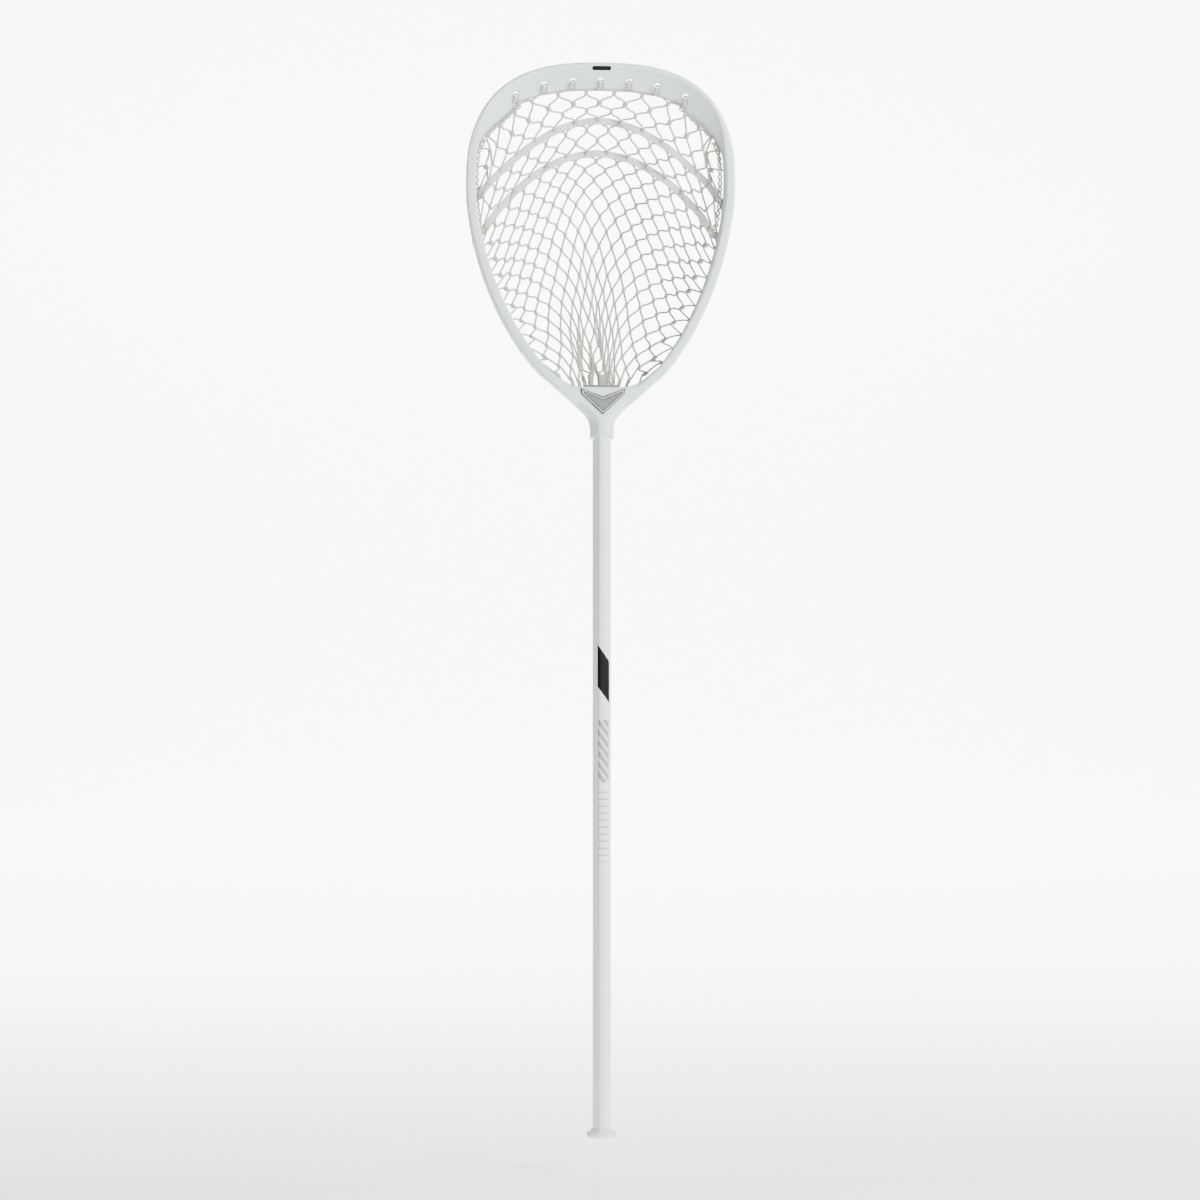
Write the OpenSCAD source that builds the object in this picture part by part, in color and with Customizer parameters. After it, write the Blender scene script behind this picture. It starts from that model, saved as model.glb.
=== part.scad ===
// Goalkeeper's lacrosse stick: an octagonal alloy shaft with a push-in butt cap, a moulded
// head held by one screw, and a laced pocket. Millimetres. +Z runs up the shaft to the scoop,
// -Y is the open face of the head, and the origin is the centre of the butt cap's flat end.

/* [Shaft] */
// Length of the alloy tube
shaft_len = 914.4; // [700:0.1:1016]
// Width of the tube across its side flats
shaft_w = 22; // [20:0.5:24]
// Depth of the tube across its front and back flats
shaft_d = 26; // [24:0.5:28]
// Wall of the tube
shaft_wall = 1.4; // [1:0.1:2]

/* [Head] */
// Half of the head's greatest width
head_half_w = 166.7; // [150:0.1:175]
// Height of the head above the throat shelf
head_h = 400.6; // [380:0.1:420]
// Depth of the side wall at its deepest
wall_d = 42; // [38:1:46]
// Height of the scoop's plate, seen from the front
scoop_w = 30; // [26:1:34]
// Windows in each side wall
window_count = 8; // [5:1:9]
// Lacing holes in the scoop
scoop_hole_count = 7; // [5:2:9]
// Close-set lacing holes along the back of each side wall
side_hole_count = 10; // [6:1:10]

/* [Pocket] */
// How far behind the shaft's axis the pocket reaches
pocket_depth = 122; // [100:1:130]
// Height of the pocket's deepest point above the throat shelf
deep_rise = 168; // [150:1:185]
// Thickness of the pocket's knotted net
net_t = 3; // [2:0.5:4]
// Height of the upper lace's middle above the throat shelf
upper_lace_rise = 325.6; // [320:0.1:335]
// Height of the lower lace's middle above the throat shelf
lower_lace_rise = 290; // [280:1:300]

/* [Butt cap] */
// Radius of the butt cap's flange
cap_r = 18.8; // [16:0.2:22]
// Length of the plug inside the tube
plug_len = 32; // [20:1:45]

/* [Hidden] */

slack = 0.1;                                // clearance of a push fit, each side
cap_floor = 5;                              // rubber below the tube's end
throat_wall = 3;                            // plastic above the tube's end
shelf_z = cap_floor + shaft_len + throat_wall;
top_z = shelf_z + head_h;
neck_len = 64.4;                            // neck and throat, below the shelf
neck_z = shelf_z - neck_len;

// The head's outline is two superellipses that meet at its widest line.
wide_z = shelf_z + head_h * 0.6205;
up_h = top_z - wide_z;
up_n = 2.65;                                // roundness of the scoop's end
low_h = 280;
low_n = 1.7;                                // roundness of the throat's end
low_end = 72;                               // where the rim runs into the throat, in degrees
up_steps = 18;
low_steps = 22;

shaft_flat = 3.5;                           // half of the front flat
shaft_side = 5;                             // half of the side flat

white_plastic = "#e9eef0";
white_paint = "#e4e8ea";
net_cream = "#dedcd2";

function smooth(a, b, x) = let (t = min(1, max(0, (x - a) / (b - a)))) t * t * (3 - 2 * t);
function mix(a, b, t) = a + (b - a) * t;
function unit(v) = v / norm(v);

// ---- the rim's path: [outer point x, z, outward normal x, z] from the right throat round to the left
function outline(a, h, n, phi) =
    let (x = head_half_w * pow(cos(phi), 2 / n), z = a * h * pow(sin(phi), 2 / n),
         g = unit([pow(x / head_half_w, n - 1) / head_half_w, a * pow(abs(z) / h, n - 1) / h]))
    [x, wide_z + z, g.x, g.y];
half_path = concat(
    [for (i = [low_steps:-1:1]) outline(-1, low_h, low_n, low_end * i / low_steps)],
    [for (i = [0:up_steps]) outline(1, up_h, up_n, 90 * i / up_steps)]);
path = concat(half_path,
    [for (i = [len(half_path) - 2:-1:0]) let (p = half_path[i]) [-p[0], p[1], -p[2], p[3]]]);

function rise(z) = min(1, max(0, (z - shelf_z) / head_h));
function front_y(z) = -12 + 14 * sin(180 * rise(z)) - 3.8 * (1 - smooth(0, 0.2, rise(z)));
function back_y(z) = 16 + (wall_d - 14) * sin(180 * pow(rise(z), 0.75));
function scoop_share(z) = smooth(top_z - 112, top_z - 40, z);

// ---- the rim's section: points [inward, y]
function wall_section(f, b) = [
    [1.5, f], [10.5, f], [12, f + 1.5], [12, f + 8], [7.5, f + 11], [7.5, b - 10], [11, b - 7.5],
    [11, b - 1.5], [9.5, b], [3, b], [1.5, b - 1.5], [1.5, b - 8], [2.5, b - 11], [2.5, f + 12],
    [0, f + 8.5], [0, f + 1.5]];
function scoop_section(f, b) =
    let (w = scoop_w - 2, run = norm([w, b - f]), d = [w, b - f] / run, m = [d.y, -d.x],
         face = [[0, -1.5], [0, 2], [1.5, 3.2], [7, 3.2], [9, 2.4], [run - 7, 2.4], [run - 5, 3],
                 [run - 1.5, 3], [run, 1.8], [run, -1.2], [run - 1.5, -2.4], [run - 7, -2.4],
                 [run - 9, -2.2], [9, -2.2], [7, -2.6], [1.5, -2.6]])
    [for (p = face) [2, f] + d * p.x + m * p.y];
function rim_section(z) =
    let (f = front_y(z), b = back_y(z), s = scoop_share(z), w = wall_section(f, b), c = scoop_section(f, b))
    [for (i = [0:len(w) - 1]) mix(w[i], c[i], s)];
function on_rim(p, q) = [p[0] - p[2] * q[0], q[1], p[1] - p[3] * q[0]];

// A closed solid through rings of points. Each end is filled by rungs across its ring.
module skin(rings) {
    n = len(rings);
    m = len(rings[0]);
    top = (n - 1) * m;
    polyhedron([for (r = rings) for (p = r) p], concat(
        [for (i = [0:n - 2]) for (j = [0:m - 1]) let (k = i + 1, l = (j + 1) % m)
            each [[i * m + j, i * m + l, k * m + l], [i * m + j, k * m + l, k * m + j]]],
        [for (k = [0:m / 2 - 2]) let (a = k + 1, b = k + 2, c = m - 1 - k, d = (m - k) % m)
            each [[a, d, c], [a, c, b], [top + a, top + c, top + d], [top + a, top + b, top + c]]]));
}

module rim() {
    skin([for (p = path) let (s = rim_section(p[1])) [for (q = s) on_rim(p, q)]]);
}

// ---- octagons with uneven flats, as [x, y] points
function octagon(w, d, flat, side) = [
    [flat, -d], [w, -side], [w, side], [flat, d], [-flat, d], [-w, side], [-w, -side], [-flat, -d]];
function tube_section(grow) = octagon(shaft_w / 2 + grow, shaft_d / 2 + grow,
    shaft_flat + grow * 0.43, shaft_side + grow * 0.39);

// ---- throat and neck: level sections from the neck's end up to the shelf
function throat_half_w(z) = 14.4 + 5.6 * ln(1 + exp((z - neck_z - 26.5) / 5));
function throat_section(z) =
    let (t = smooth(neck_z + 14, shelf_z, z), w = throat_half_w(z),
         f = 15.8, b = mix(15.8, 17, t), flat = mix(4.6, w - 9, smooth(neck_z + 8, shelf_z - 12, z)))
    [[-flat, -f], [-w, mix(-6.6, -7, t)], [-w, mix(6.6, 10, t)], [-flat, b],
     [flat, b], [w, mix(6.6, 10, t)], [w, mix(-6.6, -7, t)], [flat, -f]];
module throat() {
    levels = 16;
    skin([for (i = [0:levels]) let (z = neck_z + neck_len * i / levels)
        [for (p = throat_section(z)) [p.x, p.y, z]]]);
}

screw_z = neck_z + 24;
screw_r = 1.9;
screw_head_r = 3.6;
screw_head_h = 2;
screw_seat_y = 14.8;                        // where the screw's head beds in the neck's back
module screw_hole() {
    translate([0, 5, screw_z]) rotate([-90, 0, 0]) cylinder(r = screw_r + slack, h = 20, $fn = 24);
}

// A round-ended slot through a plate, its length along X.
module slot(length, r, depth, fn) {
    linear_extrude(depth, center = true) {
        square([length - 2 * r, 2 * r], center = true);
        for (s = [-1, 1]) translate([s * (length / 2 - r), 0]) circle(r, $fn = fn);
    }
}
// Puts its child's Z axis along the rim's outward normal, at a depth into the wall.
module in_wall(p, inward, y) {
    translate([p[0] - p[2] * inward, y, p[1] - p[3] * inward])
        rotate([0, 90 - atan2(p[3], p[2]), 0]) children();
}
// The path's station whose height is nearest to z, on the right side.
function side_station(z) =
    let (far = [for (i = [0:low_steps + up_steps]) abs(half_path[i][1] - z)])
    half_path[search(min(far), far)[0]];

window_len = 22;
window_low = 52;                            // middle of the lowest window, above the shelf
window_span = 216;
front_rail = 13.5;                          // what a window leaves of the wall, in front and behind
back_rail = 12.5;
module window_at(p) {
    f = front_y(p[1]) + front_rail;
    b = back_y(p[1]) - back_rail;
    in_wall(p, 5, (f + b) / 2) slot(window_len, (b - f) / 2, 20, 24);
}
module windows() {
    for (i = [0:window_count - 1])
        window_at(side_station(shelf_z + window_low + i * window_span / (window_count - 1)));
}

side_hole_r = 1.7;
side_hole_low = 24;                         // lowest hole, above the shelf
side_hole_pitch = 18.7;
wide_hole_pitch = 40.2;                     // of the last holes, up towards the scoop
wide_hole_count = 3;
side_hole_span = (side_hole_count - 1) * side_hole_pitch;
side_hole_z = concat(
    [for (i = [0:side_hole_count - 1]) shelf_z + side_hole_low + i * side_hole_pitch],
    [for (i = [1:wide_hole_count]) shelf_z + side_hole_low + side_hole_span + i * wide_hole_pitch]);
module side_holes() {
    for (z = side_hole_z) let (p = side_station(z))
        in_wall(p, 6, back_y(p[1]) - 4.2) cylinder(r = side_hole_r, h = 20, center = true, $fn = 20);
}

scoop_hole_r = 2.3;
scoop_hole_len = 8;
scoop_hole_pitch = 35;
scoop_hole_drop = 20.5;                     // below the scoop's edge
// The outline's height at a given x, on the scoop.
function scoop_z(x) = wide_z + up_h * pow(1 - pow(abs(x) / head_half_w, up_n), 1 / up_n);
module scoop_holes() {
    for (i = [0:scoop_hole_count - 1]) let (x = (i - (scoop_hole_count - 1) / 2) * scoop_hole_pitch)
        translate([x, 0, scoop_z(x) - scoop_hole_drop]) rotate([-90, 0, 0])
            slot(scoop_hole_len, scoop_hole_r, 90, 20);
}

module head_frame() color(white_plastic) difference() {
    union() {
        rim();
        throat();
    }
    // socket for the tube
    translate([0, 0, neck_z - 5]) linear_extrude(neck_len - throat_wall + 5) polygon(tube_section(slack));
    // arched end of the neck
    translate([0, -30, neck_z - 13.8]) rotate([-90, 0, 0]) cylinder(r = 19.3, h = 60, $fn = 96);
    screw_hole();
    // seat of the screw's head
    translate([0, screw_seat_y, screw_z]) rotate([-90, 0, 0])
        cylinder(r = screw_head_r + slack, h = 9, $fn = 32);
    for (side = [0, 1]) mirror([side, 0, 0]) {
        windows();
        side_holes();
    }
    scoop_holes();
    // recess that the badge is set in
    badge_layer(badge_rim, -30, badge_back);
}

module shaft() color(white_paint) difference() {
    translate([0, 0, cap_floor]) linear_extrude(shaft_len) polygon(tube_section(0));
    translate([0, 0, cap_floor - 1]) linear_extrude(shaft_len + 2) polygon(tube_section(-shaft_wall));
    screw_hole();
}

plug_hollow_r = 6.5;
collar_z = 11;                              // top of the collar round the tube
module end_cap() color(white_plastic) difference() {
    union() {
        rotate_extrude($fn = 96) polygon([
            [0, 0], [13, 0], [16.4, 1.1], [cap_r - 0.7, 2.9], [cap_r, 4.7], [cap_r - 0.5, 6.4],
            [cap_r - 2.4, 7.4], [14.6, 7.9], [0, 7.9]]);
        linear_extrude(collar_z) polygon(tube_section(1.9));
        linear_extrude(cap_floor + plug_len) polygon(tube_section(-shaft_wall - slack));
    }
    // groove that the tube's wall sits in
    difference() {
        translate([0, 0, cap_floor]) linear_extrude(20) polygon(tube_section(slack));
        translate([0, 0, cap_floor - 1]) linear_extrude(22) polygon(tube_section(-shaft_wall - slack));
    }
    // hollow of the plug
    translate([0, 0, cap_floor + 3]) cylinder(r = plug_hollow_r, h = plug_len, $fn = 40);
}

module head_screw() color("#b9bcbe") difference() {
    translate([0, 0, screw_z]) rotate([-90, 0, 0]) {
        translate([0, 0, screw_seat_y - 10]) cylinder(r = screw_r, h = 10.1, $fn = 24);
        translate([0, 0, screw_seat_y]) cylinder(r = screw_head_r, h = screw_head_h, $fn = 32);
    }
    // cross slot
    translate([0, screw_seat_y + screw_head_h, screw_z]) for (a = [0, 90]) rotate([0, a, 0])
        cube([4.4, 2.4, 0.9], center = true);
}

// ---- badge on the front of the throat
badge_back = -14.9;
badge_front = -17.9;
badge_rim = [[0, -34], [26.5, -9], [27.6, -1.8], [0, -12], [-27.6, -1.8], [-26.5, -9]];
badge_face = [[0, -31.4], [24.4, -8.5], [25.2, -4.6], [0, -14.6], [-25.2, -4.6], [-24.4, -8.5]];
module badge_layer(outline_points, y0, y1) {
    translate([0, y1, shelf_z]) rotate([90, 0, 0]) linear_extrude(y1 - y0) polygon(outline_points);
}
module throat_badge() color("#c3c7c9") difference() {
    badge_layer(badge_rim, badge_front, badge_back);
    badge_layer(badge_face, badge_front - 1, badge_front + 0.9);
}

module ball_stop() color("#6f736f") translate([-21, -10, shelf_z]) cube([42, 22, 3]);

// ---- the pocket: rings from the deep point out to the edge that is laced to the rim
deep_z = shelf_z + deep_rise;
edge_in = 17;                               // the net's edge stands this far in from the outline
function edge_of(p) =
    let (s = scoop_share(p[1]), q = [mix(edge_in, scoop_w + 9, s), mix(back_y(p[1]) - 6, 18, s)]) on_rim(p, q);
low_edge = [for (p = path) if (edge_of(p).z > shelf_z + 13) edge_of(p)];
shelf_edge = [for (x = [-28:14:28]) [x, 14, shelf_z + 9]];
net_edge = concat(low_edge, shelf_edge);
ring_steps = 14;
function bulge(r) = pow(1 - pow(r, 1.6), 1.2);
function pocket_point(e, r) = [e.x * r, mix(e.y, pocket_depth, bulge(r)), mix(deep_z, e.z, r)];
net_rings = [for (j = [ring_steps:-1:1]) [for (e = net_edge) pocket_point(e, j / ring_steps)]];
module pocket_net() color(net_cream) {
    n = len(net_edge);
    front = [for (r = net_rings) for (p = r) p];
    deep = [0, pocket_depth, deep_z];
    pts = concat(front, [deep], [for (p = front) p + [0, net_t, 0]], [deep + [0, net_t, 0]]);
    b = len(front) + 1;
    tip = len(front);
    polyhedron(pts, concat(
        [for (j = [0:ring_steps - 2]) for (i = [0:n - 1]) let (k = (i + 1) % n) for (f = [
            [j * n + i, j * n + k, (j + 1) * n + k], [j * n + i, (j + 1) * n + k, (j + 1) * n + i],
            [b + j * n + i, b + (j + 1) * n + k, b + j * n + k],
            [b + j * n + i, b + (j + 1) * n + i, b + (j + 1) * n + k]]) f],
        [for (i = [0:n - 1]) let (k = (i + 1) % n, j = ring_steps - 1) for (f = [
            [j * n + i, j * n + k, tip], [b + j * n + i, b + tip, b + j * n + k],
            [i, b + k, k], [i, b + i, b + k]]) f]));
}

// ---- strings: round tubes along a line of points
module tube(line, r, sides = 8) {
    n = len(line);
    skin([for (i = [0:n - 1])
        let (a = line[max(0, i - 1)], b = line[min(n - 1, i + 1)], t = unit(b - a),
             u = unit(cross(t, [0, 1, 0.01])), v = cross(u, t))
        [for (k = [0:sides - 1]) line[i] + r * (u * cos(360 * k / sides) + v * sin(360 * k / sides))]]);
}
string_r = 1.1;
function is_top(p) = p[1] > top_z - 100;
module top_string() color(net_cream) tube(
    [for (p = path) if (is_top(p)) on_rim(p, [mix(14.4, scoop_w + 5, scoop_share(p[1])),
        mix(back_y(p[1]) - 3, 15, scoop_share(p[1]))])], string_r);
function side_line(s) = [for (p = half_path) if (p[1] > shelf_z + 18 && p[1] < top_z - 108)
    let (q = on_rim(p, [14, back_y(p[1]) - 4])) [s * q.x, q.y, q.z]];
module right_sidewall_string() color(net_cream) tube(side_line(1), string_r);
module left_sidewall_string() color(net_cream) tube(side_line(-1), string_r);
module throat_string() color(net_cream) tube([for (x = [-24:6:24]) [x, 14, shelf_z + 5.5]], string_r);

// ---- shooting laces: flat bands that follow the net's open side in an arch
lace_w = 7.5;
lace_t = 1.4;
lace_gap = 1.6;
lace_half = 142;
lace_sag = 86;                              // how far an arch's ends drop below its middle
function turn(a, b) = a.x * b.y - a.y * b.x;
// The net's edge point that lies in direction d from the deep point, as seen from the front.
function edge_toward(d) = [for (i = [0:len(net_edge) - 1])
    let (p = net_edge[i], q = net_edge[(i + 1) % len(net_edge)],
         a = [p.x, p.z - deep_z], b = [q.x, q.z - deep_z])
    if (turn(a, d) >= 0 != turn(b, d) >= 0 && a * d + b * d > 0)
        p + (q - p) * turn(a, d) / (turn(a, d) - turn(b, d))][0];
function net_y(x, z) =
    let (e = edge_toward([x, z - deep_z])) pocket_point(e, norm([x, z - deep_z]) / norm([e.x, e.z - deep_z])).y;
function lace_z(x, rise) = shelf_z + rise - lace_sag * pow(x / lace_half, 2);
function on_net(x, z) = [x, net_y(x, z) - lace_gap, z];
module lace(rise) {
    steps = 28;
    skin([for (i = [0:steps])
        let (x = mix(-lace_half, lace_half, i / steps), z = lace_z(x, rise),
             across = unit([lace_z(x, rise) - lace_z(x + 1, rise), 1]) * lace_w / 2,
             low = on_net(x - across.x, z - across.y), high = on_net(x + across.x, z + across.y),
             t = [0, -lace_t, 0])
        [low, high, high + t, low + t]]);
}
module upper_shooting_lace() color("#e7eae6") lace(upper_lace_rise);
module lower_shooting_lace() color("#e7eae6") lace(lower_lace_rise);

head_frame();
throat_badge();
ball_stop();
head_screw();
shaft();
end_cap();
pocket_net();
top_string();
left_sidewall_string();
right_sidewall_string();
throat_string();
upper_shooting_lace();
lower_shooting_lace();
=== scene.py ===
"""A goalkeeper's lacrosse stick: the looks. Lengths are in metres, in the frame of the CAD model."""
import math

import bmesh
import bpy
import numpy as np
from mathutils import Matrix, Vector


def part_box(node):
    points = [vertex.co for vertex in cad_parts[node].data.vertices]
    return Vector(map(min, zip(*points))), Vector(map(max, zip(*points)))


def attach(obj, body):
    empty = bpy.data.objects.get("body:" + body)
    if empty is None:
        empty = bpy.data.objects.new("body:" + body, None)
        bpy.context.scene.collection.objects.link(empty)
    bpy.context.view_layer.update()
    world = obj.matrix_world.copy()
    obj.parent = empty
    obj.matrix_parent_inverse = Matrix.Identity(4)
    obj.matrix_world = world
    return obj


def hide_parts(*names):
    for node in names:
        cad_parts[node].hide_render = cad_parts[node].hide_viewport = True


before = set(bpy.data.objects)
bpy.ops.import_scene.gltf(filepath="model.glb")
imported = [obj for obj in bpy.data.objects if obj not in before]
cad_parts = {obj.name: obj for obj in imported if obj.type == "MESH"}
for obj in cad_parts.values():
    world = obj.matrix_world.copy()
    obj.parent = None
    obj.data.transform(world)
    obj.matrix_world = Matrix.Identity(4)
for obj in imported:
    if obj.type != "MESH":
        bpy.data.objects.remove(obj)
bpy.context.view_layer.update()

MM = 0.001

# places that come from the frame
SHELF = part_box("ball_stop")[0][2]               # the throat's shelf
HALF_W, _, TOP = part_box("head_frame")[1]
HEAD_H = TOP - SHELF
# the tube's foot, its half sizes across the flats, and its top
(_, _, TUBE_FOOT), (TUBE_W, TUBE_D, TUBE_TOP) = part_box("shaft")
NECK_LEN = 64.4 * MM
NECK = SHELF - NECK_LEN

# the head's outline: two superellipses that meet at its widest line, as in the CAD model
WIDE = SHELF + HEAD_H * 0.6205
UP_H, UP_N = TOP - WIDE, 2.65
LOW_H, LOW_N, LOW_END = 280 * MM, 1.7, math.radians(76)
# below FOOT_Z the rim runs straight down into the throat
FOOT_Z, FOOT_X, FOOT_SLOPE = SHELF + 15 * MM, 76.9 * MM, 1.142
WALL_D = 42 * MM
SCOOP_W = 30 * MM
HOLE_DOWN = 20.5 * MM       # the scoop's holes, below its top edge


# ---- small helpers
def smooth(a, b, x):
    t = min(1, max(0, (x - a) / (b - a)))
    return t * t * (3 - 2 * t)


def mix(a, b, t):
    return a + (b - a) * t


def unit(v):
    return v / max(np.linalg.norm(v), 1e-12)


def link(name, mesh):
    piece = bpy.data.objects.new(name, mesh)
    bpy.context.scene.collection.objects.link(piece)
    return piece


def add_piece(name, verts, faces, uvs=None):
    """A mesh object from arrays. uvs holds one (u, v) per vertex."""
    mesh = bpy.data.meshes.new(name)
    mesh.from_pydata([tuple(v) for v in verts], [], faces)
    mesh.validate()
    if uvs is not None:
        layer = mesh.uv_layers.new(name="along")
        loops = np.empty(len(mesh.loops), dtype=np.int32)
        mesh.loops.foreach_get("vertex_index", loops)
        layer.data.foreach_set("uv", np.asarray(uvs, dtype=np.float32)[loops].ravel())
    return link(name, mesh)


def outward(piece):
    """Makes the piece's faces point out."""
    work = bmesh.new()
    work.from_mesh(piece.data)
    bmesh.ops.recalc_face_normals(work, faces=work.faces)
    work.to_mesh(piece.data)
    work.free()


def apply_modifiers(piece):
    depsgraph = bpy.context.evaluated_depsgraph_get()
    mesh = bpy.data.meshes.new_from_object(piece.evaluated_get(depsgraph))
    piece.modifiers.clear()
    piece.data = mesh


def shade_smooth(piece, angle=None):
    piece.data.shade_smooth()
    if angle is not None:
        piece.data.set_sharp_from_angle(angle=math.radians(angle))


def dress(piece, material, body, nodes):
    """Gives a finished piece its material and body, and hides the CAD nodes that it stands for."""
    piece.data.materials.clear()
    piece.data.materials.append(material)
    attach(piece, body)
    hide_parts(*nodes)
    return piece


def boolean(piece, cutter, operation):
    change = piece.modifiers.new("cut", "BOOLEAN")
    change.operation = operation
    change.solver = "EXACT"
    change.object = cutter
    apply_modifiers(piece)
    bpy.data.objects.remove(cutter)


def joined(pieces):
    """The pieces as one object, whose parts stay separate shells."""
    with_meshes = bpy.context.copy()
    with_meshes.update(active_object=pieces[0], selected_editable_objects=pieces, selected_objects=pieces)
    with bpy.context.temp_override(**with_meshes):
        bpy.ops.object.join()
    return pieces[0]


def rounded(corners, radius, steps=3):
    """A closed outline with each corner turned into a short curve of steps + 1 points."""
    corners = np.asarray(corners, dtype=float)
    points = []
    for before, corner, after in zip(np.roll(corners, 1, 0), corners, np.roll(corners, -1, 0)):
        a, b = before - corner, after - corner
        a = a * min(0.42, radius / max(np.linalg.norm(a), 1e-9))
        b = b * min(0.42, radius / max(np.linalg.norm(b), 1e-9))
        for t in np.linspace(0, 1, steps + 1):
            points.append(corner + a * (1 - t) ** 2 + b * t ** 2)
    return np.array(points)


def skin(name, rings, closed=False):
    """A closed shell through rings of equal length. Its ends are filled unless the rings form a loop."""
    count, size = len(rings), len(rings[0])
    verts = np.concatenate(rings)
    faces = []
    for i in range(count if closed else count - 1):
        k = (i + 1) % count
        for j in range(size):
            n = (j + 1) % size
            faces.append((i * size + j, i * size + n, k * size + n, k * size + j))
    if not closed:
        faces.append(tuple(reversed(range(size))))
        faces.append(tuple((count - 1) * size + j for j in range(size)))
    piece = add_piece(name, verts, faces)
    outward(piece)
    return piece


def flowing(points, per=4):
    """A Catmull-Rom curve through the points, with per steps between each two."""
    p = np.asarray(points, dtype=float)
    p = np.vstack([2 * p[0] - p[1], p, 2 * p[-1] - p[-2]])
    out = []
    for i in range(1, len(p) - 2):
        for t in np.arange(per) / per:
            a, b, c, d = p[i - 1:i + 3]
            out.append(0.5 * (2 * b + (c - a) * t + (2 * a - 5 * b + 4 * c - d) * t ** 2
                              + (3 * b - a - 3 * c + d) * t ** 3))
    out.append(p[-2])
    return np.array(out)


def tubes(name, lines, radius, sides=7, flat=None):
    """One mesh of round tubes along lines of points. flat=(width, thickness, up) makes flat bands instead,
    whose width stays across the line and square to up."""
    verts, faces, uvs = [], [], []
    for line in lines:
        line = np.asarray(line, dtype=float)
        tangent = np.gradient(line, axis=0)
        tangent /= np.maximum(np.linalg.norm(tangent, axis=1), 1e-12)[:, None]
        length = np.r_[0, np.cumsum(np.linalg.norm(np.diff(line, axis=0), axis=1))]
        base = len(verts)
        side = unit(np.cross(tangent[0], (0.12, 0.97, 0.21)))
        if flat is None:
            ring = [(radius * math.cos(a), radius * math.sin(a)) for a in np.arange(sides) * math.tau / sides]
        else:
            w, t = flat[0] / 2, flat[1] / 2
            ring = rounded([(-w, -t), (w, -t), (w, t), (-w, t)], t * 0.9, 2)
        n = len(ring)
        for k, point in enumerate(line):
            if flat is None:
                side = unit(side - tangent[k] * np.dot(side, tangent[k]))
            else:
                side = unit(np.cross(flat[2], tangent[k]))
            over = np.cross(tangent[k], side)
            for m, (a, b) in enumerate(ring):
                verts.append(point + side * a + over * b)
                uvs.append((m / n, length[k]))
        for k in range(len(line) - 1):
            for m in range(n):
                a, b = base + k * n + m, base + k * n + (m + 1) % n
                faces.append((a, b, b + n, a + n))
        faces.append(tuple(base + m for m in reversed(range(n))))
        faces.append(tuple(base + (len(line) - 1) * n + m for m in range(n)))
    piece = add_piece(name, verts, faces, uvs)
    outward(piece)
    shade_smooth(piece, 50)
    return piece


# ---- camera, floor and light
def make_camera():
    """A long lens, a little to the left of the open face, half way up the stick."""
    distance, azimuth, seen = 4.5, math.radians(-6), 1.476
    aim = Vector((-0.002, 0, 0.661))
    camera = bpy.data.objects.new("camera", bpy.data.cameras.new("camera"))
    bpy.context.scene.collection.objects.link(camera)
    camera.location = aim + Vector((math.sin(azimuth), -math.cos(azimuth), 0)) * distance
    camera.rotation_euler = (aim - camera.location).to_track_quat("-Z", "Y").to_euler()
    camera.data.sensor_width = 36
    camera.data.lens = 36 * distance / seen
    bpy.context.scene.camera = camera


def make_stage():
    """A pale floor that curves up into a softly glowing backdrop."""
    half_width, front, back, height, radius = 12.0, -8.0, 6.0, 10.0, 2.0
    drop = 47 * MM              # below the cap's travel, so that the cap shows when it is pulled off
    profile = [(front, 0.0)]
    profile += [(back + radius * math.sin(a), radius - radius * math.cos(a))
                for a in np.linspace(0, math.pi / 2, 16)]
    profile.append((back + radius, height))
    verts = [(x, y, z - drop) for x in (-half_width, half_width) for y, z in profile]
    n = len(profile)
    faces = [(k, n + k, n + k + 1, k + 1) for k in range(n - 1)]
    floor = add_piece("floor", verts, faces)
    shade_smooth(floor)
    paint, tree, shader = node_kit("floor_paint")
    x, y, _ = split(tree, object_place(tree))
    glow = ramp(tree, y, 0.0, 3.0, 1.1, 7.5)
    # the glow keeps to a strip that widens away from the stick, turned 6 degrees like the front view
    far = math_node(tree, "MAXIMUM", y, 0.0)
    turned = math_node(tree, "SUBTRACT", x, times(tree, far, 0.105))
    aside = math_node(tree, "SUBTRACT", math_node(tree, "ABSOLUTE", turned), times(tree, far, 0.17))
    middle = ramp(tree, aside, 0.8, 1.8, 1.0, 0.04)
    feed(tree, shader, {"Base Color": (0.93, 0.93, 0.93, 1), "Roughness": 0.8, "Emission Color": (1, 1, 1, 1),
                        "Emission Strength": times(tree, glow, middle)})
    floor.data.materials.append(paint)


def area_light(name, place, aim, size, power):
    light = bpy.data.objects.new(name, bpy.data.lights.new(name, "AREA"))
    light.data.size = size
    light.data.energy = power
    light.location = place
    light.rotation_euler = (Vector(aim) - Vector(place)).to_track_quat("-Z", "Y").to_euler()
    bpy.context.scene.collection.objects.link(light)


def make_light():
    """Soft room light that is brighter on the right, and a large key light on that side."""
    world = bpy.data.worlds.new("soft_world")
    world.use_nodes = True
    tree = world.node_tree
    x = split(tree, add_node(tree, "ShaderNodeTexCoord", {}).outputs["Generated"])[0]
    feed(tree, tree.nodes["Background"], {"Color": (1, 1, 1, 1),
                                          "Strength": ramp(tree, x, -0.5, 0.8, 0.2, 0.7)})
    bpy.context.scene.world = world
    area_light("key", (2.9, -2.5, 2.0), (0, 0, 0.8), 1.3, 340)
    area_light("front_fill", (0.7, -5.6, 1.2), (0, 0, 0.8), 2.0, 110)


# ---- materials
def node_kit(name):
    material = bpy.data.materials.new(name)
    material.use_nodes = True
    tree = material.node_tree
    return material, tree, tree.nodes["Principled BSDF"]


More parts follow.
